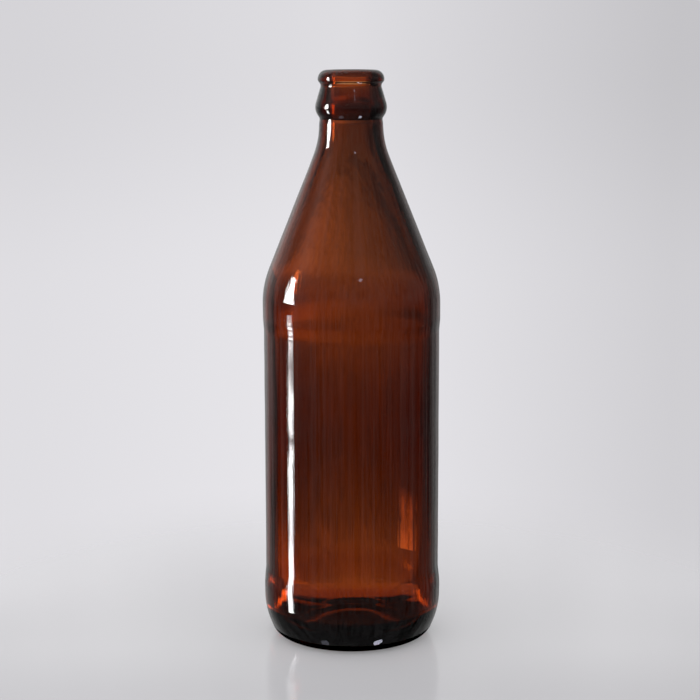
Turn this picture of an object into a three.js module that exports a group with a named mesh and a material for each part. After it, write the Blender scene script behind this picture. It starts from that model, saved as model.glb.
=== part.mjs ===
// An amber glass beer bottle with a crown finish, empty and open, turned about the Z axis.
// Millimetres, +Z up. The origin is the centre of the circle that the bottle stands on.
import * as THREE from "three";

// Driving dimensions, measured as radii and as heights above the standing surface.
const height = 230;
const sidesAround = 48;
const arcStepDeg = 18;

const finish = {
  lipRadius: 13.18,
  lipTopRound: 3.6,
  lipFoot: 225.75,
  lipFootRound: 1.3,
  grooveRadius: 11.84,
  grooveHeight: 224.2,
  grooveRound: 1.9,
  ringRadius: 14.78,
  ringHeight: 214.35,
  ringRound: 5.8,
  ringFootRadius: 12.36,
  ringFootHeight: 210.95,
  ringFootRound: 1.6,
  collarRadius: 12.7,
  collarHeight: 209.3,
  collarRound: 6,
};

const neck = { radius: 12.75, coneTop: 202, filletRound: 34 };
const shoulder = { radius: 35.75, coneFoot: 144.6, round: 38, bandFoot: 131 };
const panel = { radius: 35.35, top: 126.4, foot: 28.5, edgeRound: 8 };

const heel = {
  radius: 35.95,
  bandTop: 22,
  sideCorner: 10.6,
  sideRound: 32,
  footCorner: 31.1,
  footRound: 6.7,
};

const base = { bearingInner: 24.4, bearingRound: 0.8, pushUpRadius: 23.2, pushUpFoot: 0.9, pushUp: 4.8 };

const inside = {
  mouthRadius: 8.2,
  mouthRound: 1.2,
  neckRadius: 8.8,
  coneWall: 3.5,
  bodyRadius: 31.4,
  heelRound: 11,
  floorEdge: 3.2,
  floorRadius: 20,
  floorRise: 4.5,
};

const domeSteps = 4;

function corner(radius, z, round = 0) {
  return { at: new THREE.Vector2(radius, z), round };
}

// Points along an outline of straight runs whose corners are rounded by tangent arcs.
function roundedOutline(corners) {
  const arcStep = THREE.MathUtils.degToRad(arcStepDeg);
  return corners.flatMap(({ at, round }, i) => {
    if (round === 0) {
      return [at];
    }
    const back = corners[i - 1].at.clone().sub(at).normalize();
    const ahead = corners[i + 1].at.clone().sub(at).normalize();
    const turn = Math.PI - Math.acos(back.dot(ahead));
    const side = Math.sign(back.cross(ahead));
    const start = at.clone().addScaledVector(back, round * Math.tan(turn / 2));
    const bisector = back.clone().add(ahead).normalize();
    const centre = at.clone().addScaledVector(bisector, round / Math.cos(turn / 2));
    const steps = Math.ceil(turn / arcStep);
    return Array.from({ length: steps + 1 }, (_, k) =>
      start.clone().rotateAround(centre, (-side * turn * k) / steps),
    );
  });
}

// A shallow paraboloid from the axis out to the given radius, rising by rise at the middle.
function dome(radius, foot, rise) {
  return Array.from({ length: domeSteps }, (_, k) => {
    const r = (radius * k) / domeSteps;
    return corner(r, foot + rise * (1 - (r / radius) ** 2));
  });
}

function outerCorners() {
  return [
    ...dome(base.pushUpRadius, base.pushUpFoot, base.pushUp - base.pushUpFoot),
    corner(base.pushUpRadius, base.pushUpFoot),
    corner(base.bearingInner, 0, base.bearingRound),
    corner(heel.footCorner, 0, heel.footRound),
    corner(heel.radius, heel.sideCorner, heel.sideRound),
    corner(heel.radius, heel.bandTop, panel.edgeRound),
    corner(panel.radius, panel.foot, panel.edgeRound),
    corner(panel.radius, panel.top, panel.edgeRound),
    corner(shoulder.radius, shoulder.bandFoot, panel.edgeRound),
    corner(shoulder.radius, shoulder.coneFoot, shoulder.round),
    corner(neck.radius, neck.coneTop, neck.filletRound),
    corner(finish.collarRadius, finish.collarHeight, finish.collarRound),
    corner(finish.ringFootRadius, finish.ringFootHeight, finish.ringFootRound),
    corner(finish.ringRadius, finish.ringHeight, finish.ringRound),
    corner(finish.grooveRadius, finish.grooveHeight, finish.grooveRound),
    corner(finish.lipRadius, finish.lipFoot, finish.lipFootRound),
    corner(finish.lipRadius, height, finish.lipTopRound),
  ];
}

// The hollow follows the outside a wall's thickness in, from the mouth down to a domed floor.
function innerCorners() {
  const slope = (shoulder.radius - neck.radius) / (neck.coneTop - shoulder.coneFoot);
  const inset = inside.coneWall * Math.hypot(1, slope);
  const coneHeight = (radius) => neck.coneTop - (radius + inset - neck.radius) / slope;
  const floor = dome(inside.floorRadius, inside.floorEdge, inside.floorRise);
  return [
    corner(inside.mouthRadius, height, inside.mouthRound),
    corner(inside.neckRadius, coneHeight(inside.neckRadius), neck.filletRound + inside.coneWall),
    corner(inside.bodyRadius, coneHeight(inside.bodyRadius), shoulder.round - inside.coneWall),
    corner(inside.bodyRadius, inside.floorEdge, inside.heelRound),
    corner(inside.floorRadius, inside.floorEdge),
    ...floor.reverse(),
  ];
}

function makeBottle() {
  const profile = roundedOutline([...outerCorners(), ...innerCorners()]);
  const glass = new THREE.MeshStandardMaterial({ color: 0x5a2410, roughness: 0.06, metalness: 0 });
  const shape = new THREE.LatheGeometry(profile, sidesAround).rotateX(Math.PI / 2);
  const mesh = new THREE.Mesh(shape, glass);
  mesh.name = "bottle";
  return mesh;
}

const part = new THREE.Group();
part.add(makeBottle());

export default part;
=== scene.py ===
import math
import bpy
import numpy as np
from mathutils import Matrix


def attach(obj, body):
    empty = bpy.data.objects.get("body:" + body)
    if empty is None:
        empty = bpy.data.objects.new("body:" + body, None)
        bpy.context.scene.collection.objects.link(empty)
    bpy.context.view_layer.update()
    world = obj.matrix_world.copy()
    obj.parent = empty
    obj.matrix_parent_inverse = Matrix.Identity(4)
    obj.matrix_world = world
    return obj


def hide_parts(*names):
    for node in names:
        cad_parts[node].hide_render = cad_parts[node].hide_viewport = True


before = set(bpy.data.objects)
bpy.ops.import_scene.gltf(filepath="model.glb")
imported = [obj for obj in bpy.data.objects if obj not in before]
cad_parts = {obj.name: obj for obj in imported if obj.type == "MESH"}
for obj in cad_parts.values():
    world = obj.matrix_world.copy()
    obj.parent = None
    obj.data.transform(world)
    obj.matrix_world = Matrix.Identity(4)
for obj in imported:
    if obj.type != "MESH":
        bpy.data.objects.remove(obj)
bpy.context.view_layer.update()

mm = 0.001

# bottle sizes in millimetres: radii from the axis, heights above the table
bottle = {
    "height": 230.0,
    "lipRadius": 13.18, "lipTopRound": 3.6, "lipFoot": 225.75, "lipFootRound": 1.3,
    "grooveRadius": 11.84, "grooveHeight": 224.2, "grooveRound": 1.9,
    "ringRadius": 14.78, "ringHeight": 214.35, "ringRound": 5.8,
    "ringFootRadius": 12.36, "ringFootHeight": 210.95, "ringFootRound": 1.6,
    "collarRadius": 12.7, "collarHeight": 209.3, "collarRound": 6.0,
    "neckRadius": 12.75, "coneTop": 202.0, "neckRound": 34.0,
    "bandRadius": 35.75, "coneFoot": 144.6, "shoulderRound": 38.0, "shoulderBandFoot": 131.0,
    "panelRadius": 35.35, "panelTop": 126.4, "panelFoot": 28.5, "panelEdgeRound": 8.0,
    "heelRadius": 35.95, "heelBandTop": 22.0, "heelSideCorner": 10.6, "heelSideRound": 32.0,
    "heelFootCorner": 31.1, "heelFootRound": 6.7,
    "bearingInner": 24.4, "bearingRound": 0.8,
    "pushUpRadius": 23.2, "pushUpFoot": 0.9, "pushUp": 4.8,
    "mouthRadius": 8.2, "mouthRound": 1.2, "boreRadius": 8.8,
    "coneWall": 3.5, "hollowRadius": 31.4, "hollowHeelRound": 11.0,
    "floorEdge": 3.2, "floorRadius": 20.0, "floorRise": 4.5,
    "arcStepDeg": 6.0, "longestRun": 1.9, "domeSteps": 14, "aroundSteps": 252,
}

# unevenness of blown glass in millimetres; waves are a seed, a count, most round the bottle, most per mm up
glassRelief = {
    "outerRipple": 0.028, "outerWaves": (11, 26, 9, 0.42),
    "outerFoot": (2.0, 14.0), "outerTop": (196.0, 206.0),
    "fineRipple": 0.049, "fineWaves": (23, 30, 26, 0.05),
    "broadRipple": 0.098, "broadWaves": (24, 10, 4, 0.06),
    "innerFoot": (8.0, 24.0), "innerShoulder": (132.0, 160.0), "innerTop": (188.0, 204.0),
    "shoulderCalm": 0.7, "topCalm": 0.3,
    "settleHeight": 88.0, "settleSpread": 30.0, "settleThickness": 1.0,
    "seamAzimuthsDeg": (84.0, 264.0), "seamWidth": 0.32, "seamRise": 0.09,
    "seamFoot": (1.0, 3.0), "seamTop": 208.0,
    "seamColumns": (-1.8, -1.2, -0.8, -0.4, 0, 0.4, 0.8, 1.2, 1.8), "seamClear": 2.2,
    "stippleCount": 48, "stippleDepth": 0.14, "stippleTop": 1.2,
    "stippleInner": (24.9, 25.3), "stippleOuter": (27.8, 28.6),
}


# Outline of straight runs whose corners are rounded by tangent arcs: the arc starts the rounding
# times tan(half the turn) before the corner and its points are the start turned about the centre.
def roundedOutline(corners, stepDeg, longestRun):
    at = np.array([c[:2] for c in corners])
    outline = []
    for i, rounding in enumerate(c[2] for c in corners):
        if rounding == 0:
            outline.append(at[i:i + 1])
            continue
        back = at[i - 1] - at[i]
        back /= np.linalg.norm(back)
        ahead = at[i + 1] - at[i]
        ahead /= np.linalg.norm(ahead)
        turn = math.pi - math.acos(back @ ahead)
        side = np.sign(back[0] * ahead[1] - back[1] * ahead[0])
        bisector = (back + ahead) / np.linalg.norm(back + ahead)
        centre = at[i] + bisector * rounding / math.cos(turn / 2)
        arm = at[i] + back * rounding * math.tan(turn / 2) - centre
        steps = math.ceil(max(turn / math.radians(stepDeg), turn * rounding / longestRun))
        angle = -side * turn * np.linspace(0, 1, steps + 1)
        outline.append(centre + np.stack([
            arm[0] * np.cos(angle) - arm[1] * np.sin(angle),
            arm[0] * np.sin(angle) + arm[1] * np.cos(angle)], 1))
    return splitRuns(np.concatenate(outline), longestRun)


# Each run of the outline is cut into equal pieces no longer than longestRun.
def splitRuns(outline, longestRun):
    run = np.diff(outline, axis=0)
    pieces = np.ceil(np.hypot(run[:, 0], run[:, 1]) / longestRun - 1e-6).astype(int)
    start = np.repeat(np.arange(len(run)), pieces)
    share = (np.arange(len(start)) - np.repeat(np.cumsum(pieces) - pieces, pieces)) / pieces[start]
    return np.concatenate([outline[start] + run[start] * share[:, None], outline[-1:]])


# Shallow paraboloid: the height falls from foot plus rise on the axis to foot with the radius squared.
def domeCorners(radius, foot, rise, steps):
    r = radius * np.arange(steps) / steps
    return [(x, foot + rise * (1 - (x / radius) ** 2), 0) for x in r]


# Closed outline of the glass: under the base, up the outside, over the lip and down the inside.
def bottleOutline(b):
    slope = (b["bandRadius"] - b["neckRadius"]) / (b["coneTop"] - b["coneFoot"])
    inset = b["coneWall"] * math.hypot(1, slope)
    boreFoot = b["coneTop"] - (b["boreRadius"] + inset - b["neckRadius"]) / slope
    hollowTop = b["coneTop"] - (b["hollowRadius"] + inset - b["neckRadius"]) / slope
    pushUp = domeCorners(b["pushUpRadius"], b["pushUpFoot"], b["pushUp"] - b["pushUpFoot"], b["domeSteps"])
    floor = domeCorners(b["floorRadius"], b["floorEdge"], b["floorRise"], b["domeSteps"])
    outer = pushUp + [
        (b["pushUpRadius"], b["pushUpFoot"], 0),
        (b["bearingInner"], 0, b["bearingRound"]),
        (b["heelFootCorner"], 0, b["heelFootRound"]),
        (b["heelRadius"], b["heelSideCorner"], b["heelSideRound"]),
        (b["heelRadius"], b["heelBandTop"], b["panelEdgeRound"]),
        (b["panelRadius"], b["panelFoot"], b["panelEdgeRound"]),
        (b["panelRadius"], b["panelTop"], b["panelEdgeRound"]),
        (b["bandRadius"], b["shoulderBandFoot"], b["panelEdgeRound"]),
        (b["bandRadius"], b["coneFoot"], b["shoulderRound"]),
        (b["neckRadius"], b["coneTop"], b["neckRound"]),
        (b["collarRadius"], b["collarHeight"], b["collarRound"]),
        (b["ringFootRadius"], b["ringFootHeight"], b["ringFootRound"]),
        (b["ringRadius"], b["ringHeight"], b["ringRound"]),
        (b["grooveRadius"], b["grooveHeight"], b["grooveRound"]),
        (b["lipRadius"], b["lipFoot"], b["lipFootRound"]),
        (b["lipRadius"], b["height"], b["lipTopRound"]),
    ]
    inner = [
        (b["mouthRadius"], b["height"], b["mouthRound"]),
        (b["boreRadius"], boreFoot, b["neckRound"] + b["coneWall"]),
        (b["hollowRadius"], hollowTop, b["shoulderRound"] - b["coneWall"]),
        (b["hollowRadius"], b["floorEdge"], b["hollowHeelRound"]),
        (b["floorRadius"], b["floorEdge"], 0),
    ] + floor[::-1]
    return roundedOutline(outer + inner, b["arcStepDeg"], b["longestRun"])


# Sum of cosine waves over the angle and the height, each with a whole number of waves round the bottle.
def ripples(theta, z, seed, waves, mostAround, mostUp):
    rng = np.random.default_rng(seed)
    total = np.zeros(np.broadcast(theta, z).shape)
    for around, up, phase in zip(rng.integers(0, mostAround, waves), rng.uniform(-mostUp, mostUp, waves),
                                 rng.uniform(0, 2 * math.pi, waves)):
        total += np.cos(around * theta + up * z + phase)
    return total / math.sqrt(waves)


# A smooth step from 0 to 1 between two values, three t squared minus two t cubed.
def smoothStep(low, high, value):
    t = np.clip((value - low) / (high - low), 0, 1)
    return t * t * (3 - 2 * t)


# How far each point stands out along the outline's normal. Outside: ripples, a Gaussian ridge at each
# mould seam, and cosine stipples under the base. Inside: ripples and a Gaussian swell where glass settled.
def surfaceRelief(theta, r, z, isOuter, g):
    outerBody = smoothStep(*g["outerFoot"], z) * (1 - smoothStep(*g["outerTop"], z))
    outer = g["outerRipple"] * outerBody * ripples(theta, z, *g["outerWaves"])
    seam = np.zeros(outer.shape)
    for azimuth in g["seamAzimuthsDeg"]:
        away = (theta - math.radians(azimuth) + math.pi) % (2 * math.pi) - math.pi
        seam += np.exp(-((away * r / g["seamWidth"]) ** 2))
    outer += g["seamRise"] * seam * smoothStep(*g["seamFoot"], z) * (z < g["seamTop"])
    under = smoothStep(*g["stippleInner"], r) * (1 - smoothStep(*g["stippleOuter"], r))
    under = under * (z < g["stippleTop"])
    outer -= g["stippleDepth"] * under * np.clip(np.cos(g["stippleCount"] * theta), 0, 1)
    calm = g["shoulderCalm"] * smoothStep(*g["innerShoulder"], z)
    calm = calm + g["topCalm"] * smoothStep(*g["innerTop"], z)
    inner = g["fineRipple"] * ripples(theta, z, *g["fineWaves"])
    inner += g["broadRipple"] * ripples(theta, z, *g["broadWaves"])
    inner += g["settleThickness"] * np.exp(-(((z - g["settleHeight"]) / g["settleSpread"]) ** 2))
    inner *= smoothStep(*g["innerFoot"], z) * (1 - calm)
    return np.where(isOuter, outer, inner)


# Angles round the bottle: even steps, with closer columns across each mould seam.
def columnAngles(b, g):
    even = np.arange(b["aroundSteps"]) * 2 * math.pi / b["aroundSteps"]
    close = np.array(g["seamColumns"]) * g["seamWidth"] / b["panelRadius"]
    seams = np.radians(g["seamAzimuthsDeg"])
    apart = np.abs((even[:, None] - seams + math.pi) % (2 * math.pi) - math.pi).min(1)
    kept = even[apart > g["seamClear"] * close.max()]
    return np.sort(np.concatenate([kept, (seams[:, None] + close).ravel()]))


# Surface of revolution: each outline point, moved along its normal by the relief, carried round the axis.
def makeBottle(b, g):
    outline = bottleOutline(b)
    tangent = np.gradient(outline, axis=0)
    normal = np.stack([tangent[:, 1], -tangent[:, 0]], 1) / np.linalg.norm(tangent, axis=1, keepdims=True)
    lipTop = np.argmax(outline[:, 1] + (outline[:, 0] > b["mouthRadius"] + 1))
    isOuter = np.arange(len(outline)) < lipTop
    ring = slice(1, -1)  # all but the two points on the axis
    theta = columnAngles(b, g)[None, :]
    r = outline[ring, :1]
    z = outline[ring, 1:]
    relief = surfaceRelief(theta, r, z, isOuter[ring, None], g)
    radius = r + normal[ring, :1] * relief
    points = np.stack([radius * np.sin(theta), -radius * np.cos(theta), z + normal[ring, 1:] * relief], -1)
    rows, columns = radius.shape
    poles = np.array([[0, 0, outline[0, 1]], [0, 0, outline[-1, 1]]])
    vertices = np.concatenate([points.reshape(-1, 3), poles]) * mm
    index = np.arange(rows * columns).reshape(rows, columns)
    after = np.roll(index, -1, axis=1)
    quads = np.stack([index[:-1], after[:-1], after[1:], index[1:]], -1).reshape(-1, 4)
    footFan = np.stack([np.full(columns, rows * columns), after[0], index[0]], -1)
    floorFan = np.stack([index[-1], after[-1], np.full(columns, rows * columns + 1)], -1)
    return meshPiece("bottleGlass", vertices, quads, np.concatenate([footFan, floorFan]))


# Puts whole arrays of points, quads and triangles into a smooth mesh object at the origin.
def meshPiece(name, vertices, quads, triangles):
    mesh = bpy.data.meshes.new(name)
    mesh.vertices.add(len(vertices))
    mesh.vertices.foreach_set("co", vertices.astype(np.float32).ravel())
    corners = np.concatenate([quads.ravel(), triangles.ravel()]).astype(np.int32)
    sides = np.concatenate([np.full(len(quads), 4), np.full(len(triangles), 3)])
    mesh.loops.add(len(corners))
    mesh.loops.foreach_set("vertex_index", corners)
    mesh.polygons.add(len(sides))
    mesh.polygons.foreach_set("loop_start", (np.cumsum(sides) - sides).astype(np.int32))
    mesh.polygons.foreach_set("use_smooth", np.ones(len(sides), bool))
    mesh.update(calc_edges=True)
    mesh.validate()
    piece = bpy.data.objects.new(name, mesh)
    bpy.context.scene.collection.objects.link(piece)
    return piece


def newMaterial(name):
    material = bpy.data.materials.new(name)
    material.use_nodes = True
    return material, material.node_tree.nodes, material.node_tree.links


# amber glass: what the wall lets through is set by absorption per metre in red, green and blue
amberGlass = {
    "ior": 1.52,
    "absorbDensity": 700.0,
    "absorbColor": (0.74, 0.43, 0.09),
    "polish": 0.004, "scuff": 0.10,
    "dustScale": 900.0, "dustDetail": 3.0, "dustRange": (0.62, 0.80),
    "drawLines": (600.0, 600.0, 6.0), "drawDetail": 2.0, "drawDepth": 0.00005,
}


# Clear amber glass with fine upright draw lines and a few dull specks.
def amberGlassMaterial(a):
    material, nodes, links = newMaterial("amberGlass")
    shader = nodes["Principled BSDF"]
    shader.inputs["Base Color"].default_value = (1, 1, 1, 1)
    shader.inputs["IOR"].default_value = a["ior"]
    shader.inputs["Transmission Weight"].default_value = 1.0
    place = nodes.new("ShaderNodeTexCoord")
    stretch = nodes.new("ShaderNodeMapping")
    stretch.inputs["Scale"].default_value = a["drawLines"]
    lines = nodes.new("ShaderNodeTexNoise")
    lines.inputs["Scale"].default_value = 1.0
    lines.inputs["Detail"].default_value = a["drawDetail"]
    bump = nodes.new("ShaderNodeBump")
    bump.inputs["Strength"].default_value = 1.0
    bump.inputs["Distance"].default_value = a["drawDepth"]
    links.new(place.outputs["Object"], stretch.inputs["Vector"])
    links.new(stretch.outputs["Vector"], lines.inputs["Vector"])
    links.new(lines.outputs["Fac"], bump.inputs["Height"])
    links.new(bump.outputs["Normal"], shader.inputs["Normal"])
    dust = nodes.new("ShaderNodeTexNoise")
    dust.inputs["Scale"].default_value = a["dustScale"]
    dust.inputs["Detail"].default_value = a["dustDetail"]
    specks = nodes.new("ShaderNodeMapRange")
    specks.inputs["From Min"].default_value = a["dustRange"][0]
    specks.inputs["From Max"].default_value = a["dustRange"][1]
    specks.inputs["To Min"].default_value = a["polish"]
    specks.inputs["To Max"].default_value = a["scuff"]
    links.new(place.outputs["Object"], dust.inputs["Vector"])
    links.new(dust.outputs["Fac"], specks.inputs["Value"])
    links.new(specks.outputs["Result"], shader.inputs["Roughness"])
    absorb = nodes.new("ShaderNodeVolumeAbsorption")
    absorb.inputs["Color"].default_value = (*a["absorbColor"], 1)
    absorb.inputs["Density"].default_value = a["absorbDensity"]
    links.new(absorb.outputs["Volume"], nodes["Material Output"].inputs["Volume"])
    return material


# One step of arithmetic on two values, each a socket or a number.
def mathNode(nodes, links, operation, first, second=0.0):
    node = nodes.new("ShaderNodeMath")
    node.operation = operation
    for socket, value in zip(node.inputs, (first, second)):
        if isinstance(value, (int, float)):
            socket.default_value = value
        else:
            links.new(value, socket)
    return node.outputs["Value"]


# Distance from the axis, angle from straight behind the bottle, positive to the left, and height.
def polarNodes(nodes, links, vector):
    split = nodes.new("ShaderNodeSeparateXYZ")
    links.new(vector, split.inputs["Vector"])
    x, y = split.outputs["X"], split.outputs["Y"]
    squares = mathNode(nodes, links, "ADD", mathNode(nodes, links, "MULTIPLY", x, x),
                       mathNode(nodes, links, "MULTIPLY", y, y))
    radius = mathNode(nodes, links, "SQRT", squares)
    left = mathNode(nodes, links, "MULTIPLY", x, -1.0)
    return radius, mathNode(nodes, links, "ARCTAN2", left, y), split.outputs["Z"]


# Level as a function of a value: straight runs through pairs of place and level.
def levelCurve(nodes, links, value, places, levels):
    curve = nodes.new("ShaderNodeFloatCurve")
    low, high = places[0], places[-1]
    points = curve.mapping.curves[0].points
    points[0].location = (0, levels[0])
    points[1].location = (1, levels[-1])
    for place, level in list(zip(places, levels))[1:-1]:
        points.new((place - low) / (high - low), level)
    for point in points:
        point.handle_type = "VECTOR"
    curve.mapping.use_clip = False
    curve.mapping.update()
    shifted = mathNode(nodes, links, "SUBTRACT", value, low)
    links.new(mathNode(nodes, links, "DIVIDE", shifted, high - low), curve.inputs["Value"])
    return curve.outputs["Value"]


# Level as a function of an angle, through pairs of degrees and level.
def turnCurve(nodes, links, turn, placesDeg, levels):
    return levelCurve(nodes, links, turn, np.radians(placesDeg).tolist(), levels)


# Smooth change of a value from the first level at the low end of a span to the second at its high end.
def riseNode(nodes, links, value, span, start=0.0, level=1.0):
    node = nodes.new("ShaderNodeMapRange")
    node.interpolation_type = "SMOOTHSTEP"
    node.inputs["From Min"].default_value = span[0]
    node.inputs["From Max"].default_value = span[1]
    node.inputs["To Min"].default_value = start
    node.inputs["To Max"].default_value = level
    links.new(value, node.inputs["Value"])
    return node.outputs["Result"]


# Noise drawn out along the second value: waves per radian of the first, swinging by the given amount.
def streakNodes(nodes, links, turn, along, waves, amount):
    across = nodes.new("ShaderNodeCombineXYZ")
    links.new(turn, across.inputs["X"])
    links.new(mathNode(nodes, links, "MULTIPLY", along, 0.1), across.inputs["Y"])
    noise = nodes.new("ShaderNodeTexNoise")
    noise.inputs["Scale"].default_value = waves
    noise.inputs["Detail"].default_value = 3.0
    links.new(across.outputs["Vector"], noise.inputs["Vector"])
    swing = mathNode(nodes, links, "SUBTRACT", noise.outputs["Fac"], 0.5)
    return mathNode(nodes, links, "MULTIPLY", swing, 2 * amount)


# Shows a stage object to the named kinds of ray alone.
def showOnly(piece, *kinds):
    for kind in ("camera", "diffuse", "glossy", "transmission", "volume_scatter", "shadow"):
        setattr(piece, "visible_" + kind, kind in kinds)


# Flat disc: the radius grows with the square of one parameter while the other goes round.
def makeDisc(name, radius, height):
    rows, columns = 40, 96
    r = radius * (np.arange(1, rows + 1)[:, None] / rows) ** 2
    theta = np.arange(columns)[None, :] * 2 * math.pi / columns
    points = np.stack([r * np.cos(theta), r * np.sin(theta), np.full((rows, columns), height)], -1)
    vertices = np.concatenate([points.reshape(-1, 3), [[0, 0, height]]])
    index = np.arange(rows * columns).reshape(rows, columns)
    after = np.roll(index, -1, axis=1)
    quads = np.stack([index[:-1], index[1:], after[1:], after[:-1]], -1).reshape(-1, 4)
    fan = np.stack([np.full(columns, rows * columns), index[0], after[0]], -1)
    return meshPiece(name, vertices, quads, fan)


# pale floor in metres; a faint painted glow stands in for light on it, weaker in front of the bottle
paleFloor = {
    "radius": 4.0, "color": (0.88, 0.88, 0.885), "roughness": 0.10, "fade": (0.06, 0.26),
    "glowSpan": (-0.09, -0.015), "frontGlow": 0.10, "backGlow": 0.20,
}


# The pale floor fades out with the distance, so that it runs into the pale background. It glows with a
# painted light, weaker in front of the bottle than behind it.
def makeFloor(f):
    floor = makeDisc("floor", f["radius"], 0)
    material, nodes, links = newMaterial("paleFloor")
    shader = nodes["Principled BSDF"]
    shader.inputs["Base Color"].default_value = (*f["color"], 1)
    shader.inputs["Roughness"].default_value = f["roughness"]
    shader.inputs["Emission Color"].default_value = (*f["color"], 1)
    clear = nodes.new("ShaderNodeBsdfTransparent")
    place = nodes.new("ShaderNodeTexCoord")
    radius, turn, _ = polarNodes(nodes, links, place.outputs["Object"])
    back = mathNode(nodes, links, "MULTIPLY", radius, mathNode(nodes, links, "COSINE", turn))
    # painted light on the floor: a glow, weaker in front of the bottle than behind it
    glow = riseNode(nodes, links, back, f["glowSpan"], f["frontGlow"], f["backGlow"])
    links.new(glow, shader.inputs["Emission Strength"])
    mix = nodes.new("ShaderNodeMixShader")
    links.new(riseNode(nodes, links, radius, f["fade"]), mix.inputs["Fac"])
    links.new(shader.outputs["BSDF"], mix.inputs[1])
    links.new(clear.outputs["BSDF"], mix.inputs[2])
    links.new(mix.outputs["Shader"], nodes["Material Output"].inputs["Surface"])
    floor.data.materials.append(material)
    showOnly(floor, "camera", "diffuse", "shadow")


# painted light of the table as it shows through the glass, on a glowing card: distances in metres, angles
# from straight behind, left positive
tableGlow = {
    "radius": 4.0, "height": -0.0004,
    "radii": (0.0, 0.05, 0.11, 0.20, 0.36, 0.55, 0.95, 1.6, 2.5, 3.2, 4.0),
    "levels": (0.95, 0.95, 0.66, 0.39, 0.31, 0.41, 0.70, 0.62, 0.42, 0.28, 0.25),
    "nearTurnsDeg": (-180, -85, -60, -46, -28, -24, -12, 0, 5, 10, 15, 19, 22, 26, 36, 42, 60, 85, 180),
    "nearShares": (
        1, 1, 0.3, 0.25, 0.25, 0.9, 0.85, 1, 0.92, 0.8, 0.85, 0.85, 1.6, 2.2, 2.2, 0.25, 0.3, 1, 1),
    "farTurnsDeg": (-180, -85, -60, -46, -14, -7, 0, 3, 6, 14, 25, 30, 46, 60, 85, 180),
    "farShares": (1, 1, 0.3, 0.12, 0.18, 0.38, 0.72, 1.1, 1.7, 1.9, 1.5, 0.5, 0.25, 0.3, 1, 1),
    "nearToFar": (0.5, 1.3), "footEdge": (0.065, 0.072),
    # the two spans after the foot edge end a painted shadow under the base
    "shadowBack": (0.0283, 0.0313), "shadowRim": (0.052, 0.060),
    # a painted pool of light on each side of the foot
    "poolTurnsDeg": (-180, -63, -58, -47, -42, 42, 50, 59, 67, 180),
    "poolShares": (0, 0, 3.4, 3.4, 0, 0, 11, 11, 0, 0), "poolEdge": (0.047, 0.053),
    # a painted streak of light leaning behind on the right
    "stripLean": 0.16, "stripShare": 3.0,
    "stripAside": (0.008, 0.0145, 0.0165, 0.0235, 0.0255, 0.032), "stripAcross": (0, 0, 1, 1, 0, 0),
    "stripBack": (0.09, 0.121, 0.126, 0.26, 0.29, 0.32), "stripAlong": (0, 0, 1, 1, 0, 0),
    "streakWaves": 90.0, "streakAmount": 0.9, "streakFade": (0.7, 1.1), "streakFar": 0.15,
}


# Glowing card, seen through the glass alone, painted with the light of the table: a level by distance times
# a share by angle, streaky, with a painted shadow under the base, a painted pool of light on each side of
# the foot and a painted streak of light leaning behind on the right.
def makeTableGlow(t):
    card = makeDisc("throughCard", t["radius"], t["height"])
    material, nodes, links = newMaterial("throughLight")
    nodes.remove(nodes["Principled BSDF"])
    place = nodes.new("ShaderNodeTexCoord")
    radius, turn, _ = polarNodes(nodes, links, place.outputs["Object"])
    level = levelCurve(nodes, links, radius, t["radii"], t["levels"])
    share = nodes.new("ShaderNodeMix")
    links.new(riseNode(nodes, links, radius, t["nearToFar"]), share.inputs["Factor"])
    links.new(turnCurve(nodes, links, turn, t["nearTurnsDeg"], t["nearShares"]), share.inputs["A"])
    links.new(turnCurve(nodes, links, turn, t["farTurnsDeg"], t["farShares"]), share.inputs["B"])
    back = mathNode(nodes, links, "MULTIPLY", radius, mathNode(nodes, links, "COSINE", turn))
    # painted shadow under the base, giving way to light behind the axis and round the rim
    lit = mathNode(nodes, links, "MAXIMUM", riseNode(nodes, links, back, t["shadowBack"]),
                   riseNode(nodes, links, radius, t["shadowRim"]))
    # painted pools of light on each side of the foot
    pool = turnCurve(nodes, links, turn, t["poolTurnsDeg"], t["poolShares"])
    pool = mathNode(nodes, links, "MULTIPLY", pool, riseNode(nodes, links, radius, t["poolEdge"]))
    foot = nodes.new("ShaderNodeMix")
    links.new(riseNode(nodes, links, radius, t["footEdge"]), foot.inputs["Factor"])
    links.new(mathNode(nodes, links, "ADD", lit, pool), foot.inputs["A"])
    links.new(share.outputs["Result"], foot.inputs["B"])
    # painted streak of light leaning behind on the right
    left = mathNode(nodes, links, "MULTIPLY", radius, mathNode(nodes, links, "SINE", turn))
    left = mathNode(nodes, links, "ADD", left, mathNode(nodes, links, "MULTIPLY", back, t["stripLean"]))
    right = mathNode(nodes, links, "MULTIPLY", left, -1.0)
    strip = mathNode(nodes, links, "MULTIPLY",
                     levelCurve(nodes, links, right, t["stripAside"], t["stripAcross"]),
                     levelCurve(nodes, links, back, t["stripBack"], t["stripAlong"]))
    strip = mathNode(nodes, links, "MULTIPLY", strip, t["stripShare"])
    shares = mathNode(nodes, links, "ADD", foot.outputs["Result"], strip)
    level = mathNode(nodes, links, "MULTIPLY", level, shares)
    streaks = streakNodes(nodes, links, turn, radius, t["streakWaves"], t["streakAmount"])
    fade = riseNode(nodes, links, radius, t["streakFade"], 1.0, t["streakFar"])
    streaks = mathNode(nodes, links, "MULTIPLY", streaks, fade)
    level = mathNode(nodes, links, "MULTIPLY", level, mathNode(nodes, links, "ADD", streaks, 1.0))
    light = nodes.new("ShaderNodeEmission")
    links.new(level, light.inputs["Strength"])
    links.new(light.outputs["Emission"], nodes["Material Output"].inputs["Surface"])
    card.data.materials.append(material)
    showOnly(card, "transmission")


# painted contact shadow under the bottle, a black disc, in metres
contactShadowPatch = {"radius": 0.034, "height": -0.0003}


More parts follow.
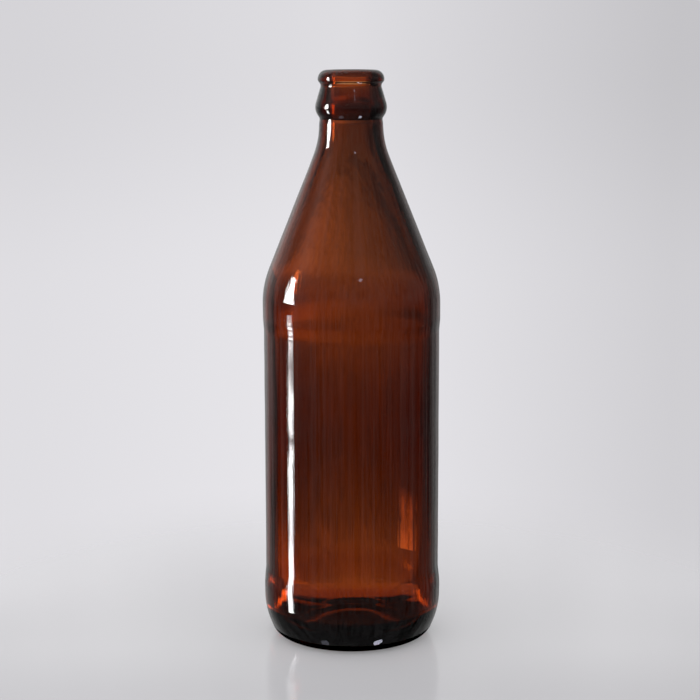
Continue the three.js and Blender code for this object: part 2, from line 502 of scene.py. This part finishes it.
# Dull black disc, a painted contact shadow that the heel mirrors, and the base shows, where the bottle
# meets the table.
def makeContactShadowCard(c):
    card = makeDisc("contactShadowCard", c["radius"], c["height"])
    material, nodes, _ = newMaterial("contactShadowBlack")
    nodes["Principled BSDF"].inputs["Base Color"].default_value = (0, 0, 0, 1)
    nodes["Principled BSDF"].inputs["Specular IOR Level"].default_value = 0
    card.data.materials.append(material)
    showOnly(card, "glossy")


# light from all round: heights are those of a direction one unit long, angles as in tableGlow
surroundings = {
    "paleColor": (0.74, 0.73, 0.76),
    "paleSides": (-1.0, -0.17, 0.0, 0.17, 1.0), "paleLevels": (0.85, 0.85, 1.09, 1.0, 0.95),
    "frontSpan": (-0.312, -0.283), "frontShade": 0.81, "upperSpan": (-0.14, -0.01), "upperShade": 0.10,
    "skyHeights": (-1.0, -0.04, -0.01, 0.03, 0.10, 0.2, 0.35, 1.0),
    "skyLevels": (0.45, 0.45, 0.45, 0.22, 0.20, 0.10, 0.03, 0.03),
    "skyTurnsDeg": (-180, -85, -60, -46, -14, -7, 0, 3, 6, 14, 25, 30, 46, 60, 85, 180),
    "skyShares": (0.5, 0.5, 0.1, 0.15, 0.5, 0.68, 0.72, 0.85, 1.05, 1.6, 3.4, 5.6, 3.0, 0.3, 0.5, 0.5),
    "mirrorTurnsDeg": (
        -180, -150, -115, -99, -77, -57, -40, -28, -12, 0, 12, 28, 40, 57, 77, 99, 115, 150, 180),
    "mirrorLowLevels": (
        0.13, 0.13, 0.13, 0.11, 0.10, 0.16, 0.28, 0.37, 0.36, 0.42,
        0.48, 0.48, 0.32, 0.14, 0.11, 0.14, 0.16, 0.15, 0.13),
    "mirrorHighLevels": (
        0.25, 0.25, 0.22, 0.28, 0.20, 0.18, 0.35, 0.50, 0.50, 0.50,
        0.60, 1.00, 0.80, 0.52, 0.16, 0.58, 0.34, 0.20, 0.25),
    "mirrorHeights": (-1.0, -0.235, -0.17, -0.10, 0.10, 1.0), "mirrorRise": (0, 0, 0.38, 0.38, 1, 1),
    "mirrorWaves": 24.0, "mirrorNoise": 0.36,
}


# Seen straight it is pale: brightest behind the bottle, darker to the right, higher up and low in front.
# What shows through the glass is a level by height times a share by angle. What the glass mirrors is a
# level by angle, from a low table to a high one with the height, and uneven.
def makeWorld(s):
    world = bpy.data.worlds.new("studioWorld")
    bpy.context.scene.world = world
    world.use_nodes = True
    nodes, links = world.node_tree.nodes, world.node_tree.links
    way = nodes.new("ShaderNodeTexCoord")
    radius, turn, height = polarNodes(nodes, links, way.outputs["Generated"])
    pale = nodes["Background"]
    pale.inputs["Color"].default_value = (*s["paleColor"], 1)
    left = mathNode(nodes, links, "MULTIPLY", radius, mathNode(nodes, links, "SINE", turn))
    sides = levelCurve(nodes, links, left, s["paleSides"], s["paleLevels"])
    front = riseNode(nodes, links, height, s["frontSpan"], s["frontShade"])
    shade = riseNode(nodes, links, height, s["upperSpan"], 0.0, s["upperShade"])
    light = mathNode(nodes, links, "MULTIPLY", sides, front)
    links.new(mathNode(nodes, links, "SUBTRACT", light, shade), pale.inputs["Strength"])
    through = nodes.new("ShaderNodeBackground")
    sky = levelCurve(nodes, links, height, s["skyHeights"], s["skyLevels"])
    share = turnCurve(nodes, links, turn, s["skyTurnsDeg"], s["skyShares"])
    links.new(mathNode(nodes, links, "MULTIPLY", sky, share), through.inputs["Strength"])
    mirrored = nodes.new("ShaderNodeBackground")
    level = nodes.new("ShaderNodeMix")
    rise = levelCurve(nodes, links, height, s["mirrorHeights"], s["mirrorRise"])
    links.new(rise, level.inputs["Factor"])
    links.new(turnCurve(nodes, links, turn, s["mirrorTurnsDeg"], s["mirrorLowLevels"]), level.inputs["A"])
    links.new(turnCurve(nodes, links, turn, s["mirrorTurnsDeg"], s["mirrorHighLevels"]), level.inputs["B"])
    uneven = streakNodes(nodes, links, turn, height, s["mirrorWaves"], s["mirrorNoise"])
    total = mathNode(nodes, links, "ADD", level.outputs["Result"], uneven)
    links.new(mathNode(nodes, links, "MAXIMUM", total, 0.0), mirrored.inputs["Strength"])
    path = nodes.new("ShaderNodeLightPath")
    mixMirror = nodes.new("ShaderNodeMixShader")
    links.new(path.outputs["Is Glossy Ray"], mixMirror.inputs["Fac"])
    links.new(pale.outputs["Background"], mixMirror.inputs[1])
    links.new(mirrored.outputs["Background"], mixMirror.inputs[2])
    mixThrough = nodes.new("ShaderNodeMixShader")  # last, as rays through the glass count as glossy too
    links.new(path.outputs["Is Transmission Ray"], mixThrough.inputs["Fac"])
    links.new(mixMirror.outputs["Shader"], mixThrough.inputs[1])
    links.new(through.outputs["Background"], mixThrough.inputs[2])
    links.new(mixThrough.outputs["Shader"], nodes["World Output"].inputs["Surface"])


# the window on the left: metres, angle from the front, and the most glass surfaces it is seen past
window = {
    "turnDeg": 86.3, "distance": 0.8, "width": 0.29, "topWidth": 0.16, "softEdge": 0.3, "radiance": 40.0,
    "heights": (0.12, 0.125, 0.455, 0.475), "levels": (1, 1, 1, 0),
    "seen": ("glossy", "transmission"), "mostWalls": 2,
}
# its uneven image in the table
windowImage = {
    "turnDeg": 86.3, "distance": 0.8, "width": 0.155, "topWidth": 0.155, "softEdge": 0.35, "radiance": 28.0,
    "heights": (-0.30, -0.18, -0.16, -0.135, -0.105, -0.087, -0.068, -0.055, -0.027, 0.006, 0.010, 0.0173),
    "levels": (1, 1, 0.6, 1, 1, 0.14, 0.85, 1, 0.22, 0.6, 0.3, 0.25),
    "seen": ("glossy", "transmission"), "mostWalls": 2,
}
# glow behind the mouth, seen only through the glass
mouthGlow = {
    "turnDeg": 180.0, "distance": 0.022, "width": 0.036, "topWidth": 0.036, "softEdge": 0.2,
    "radiance": 1.2, "heights": (0.2238, 0.2244, 0.236, 0.239), "levels": (0, 1, 1, 0),
    "seen": ("transmission",), "mostWalls": 8,
}


# Upright card across a direction from the bottle. Its glow falls off at both upright edges, changes with
# height and lights the named collection alone; the card itself is clear, so it hides nothing.
def makeWindowCard(name, w, lit):
    angle = math.radians(w["turnDeg"])
    foot, top = w["heights"][0], w["heights"][-1]
    away = np.array([-math.sin(angle), -math.cos(angle)]) * w["distance"]
    along = np.array([-math.cos(angle), math.sin(angle)]) / 2
    footHalf, topHalf = along * w["width"], along * w["topWidth"]
    ends = np.array([away - footHalf, away + footHalf, away + topHalf, away - topHalf])
    vertices = np.concatenate([ends, [[foot], [foot], [top], [top]]], 1)
    card = meshPiece(name, vertices, np.array([[0, 1, 2, 3]]), np.zeros((0, 3), int))
    layer = card.data.uv_layers.new(name="across")
    layer.data.foreach_set("uv", np.array([0, 0, 1, 0, 1, 1, 0, 1], np.float32))
    material, nodes, links = newMaterial(name)
    nodes.remove(nodes["Principled BSDF"])
    place = nodes.new("ShaderNodeTexCoord")
    across = nodes.new("ShaderNodeSeparateXYZ")
    upright = nodes.new("ShaderNodeSeparateXYZ")
    links.new(place.outputs["UV"], across.inputs["Vector"])
    links.new(place.outputs["Object"], upright.inputs["Vector"])
    soft = w["softEdge"]
    side = levelCurve(nodes, links, across.outputs["X"], (0, soft, 1 - soft, 1), (0, 1, 1, 0))
    level = levelCurve(nodes, links, upright.outputs["Z"], w["heights"], w["levels"])
    level = mathNode(nodes, links, "MULTIPLY", side, level)
    level = mathNode(nodes, links, "MULTIPLY", level, w["radiance"])
    path = nodes.new("ShaderNodeLightPath")
    near = mathNode(nodes, links, "LESS_THAN", path.outputs["Transmission Depth"], w["mostWalls"] + 0.5)
    light = nodes.new("ShaderNodeEmission")
    links.new(mathNode(nodes, links, "MULTIPLY", level, near), light.inputs["Strength"])
    clear = nodes.new("ShaderNodeBsdfTransparent")
    both = nodes.new("ShaderNodeAddShader")
    links.new(light.outputs["Emission"], both.inputs[0])
    links.new(clear.outputs["BSDF"], both.inputs[1])
    links.new(both.outputs["Shader"], nodes["Material Output"].inputs["Surface"])
    card.data.materials.append(material)
    card.light_linking.receiver_collection = lit
    showOnly(card, *w["seen"])


# small lamps in front: angle to the right, rise above the level, size in metres and radiance
lamps = {
    "distance": 1.5, "height": 0.14, "color": (0.80, 0.80, 1.0),
    "turnsDeg": (13.0, 54.0, -58.0), "risesDeg": (33.5, -62.0, -62.0),
    "sizes": (0.09, 0.2, 0.2), "radiances": (3.5, 8.0, 1.0),
}


# Small round lamps that the glass mirrors as bluish spots.
def makeLamps(p):
    for turn, rise, size, radiance in zip(np.radians(p["turnsDeg"]), np.radians(p["risesDeg"]),
                                          p["sizes"], p["radiances"]):
        light = bpy.data.lights.new("lamp", "AREA")
        light.shape = "DISK"
        light.size = size
        light.color = p["color"]
        light.energy = radiance * math.pi ** 2 * size ** 2 / 4
        piece = bpy.data.objects.new("lamp", light)
        bpy.context.scene.collection.objects.link(piece)
        piece.location = (
            p["distance"] * math.sin(turn) * math.cos(rise),
            -p["distance"] * math.cos(turn) * math.cos(rise),
            p["height"] + p["distance"] * math.sin(rise))
        piece.rotation_euler = (math.pi / 2 - rise, 0, turn)
        showOnly(piece, "glossy")


# where the photograph was taken from: metres and degrees, for a frame of 700 by 700
viewpoint = {
    "distance": 0.7362, "eyeHeight": 0.2423, "pitchDeg": 9.60, "rollDeg": -0.126,
    "sideStep": -0.00064, "focalPixels": 1844.1, "framePixels": 700, "sensor": 36.0,
}


def makeCamera(v):
    data = bpy.data.cameras.new("camera")
    data.sensor_width = v["sensor"]
    data.lens = v["sensor"] * v["focalPixels"] / v["framePixels"]
    data.clip_start, data.clip_end = 0.01, 50
    camera = bpy.data.objects.new("camera", data)
    bpy.context.scene.collection.objects.link(camera)
    place = Matrix.Translation((v["sideStep"], -v["distance"], v["eyeHeight"]))
    tilt = Matrix.Rotation(math.radians(90 - v["pitchDeg"]), 4, "X")
    camera.matrix_world = place @ tilt @ Matrix.Rotation(math.radians(v["rollDeg"]), 4, "Z")
    bpy.context.scene.camera = camera


makeCamera(viewpoint)
print("camera set")

glass = makeBottle(bottle, glassRelief)
glass.data.materials.append(amberGlassMaterial(amberGlass))
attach(glass, "root")
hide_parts("bottle")
print("bottle", len(glass.data.vertices), "points", len(glass.data.polygons), "faces")

makeFloor(paleFloor)
makeTableGlow(tableGlow)
makeContactShadowCard(contactShadowPatch)
makeWorld(surroundings)
litByCards = bpy.data.collections.new("litByCards")
litByCards.objects.link(glass)
makeWindowCard("window", window, litByCards)
makeWindowCard("windowImage", windowImage, litByCards)
makeWindowCard("mouthGlow", mouthGlow, litByCards)
makeLamps(lamps)
bpy.context.scene.view_settings.view_transform = "Standard"
print("studio set")
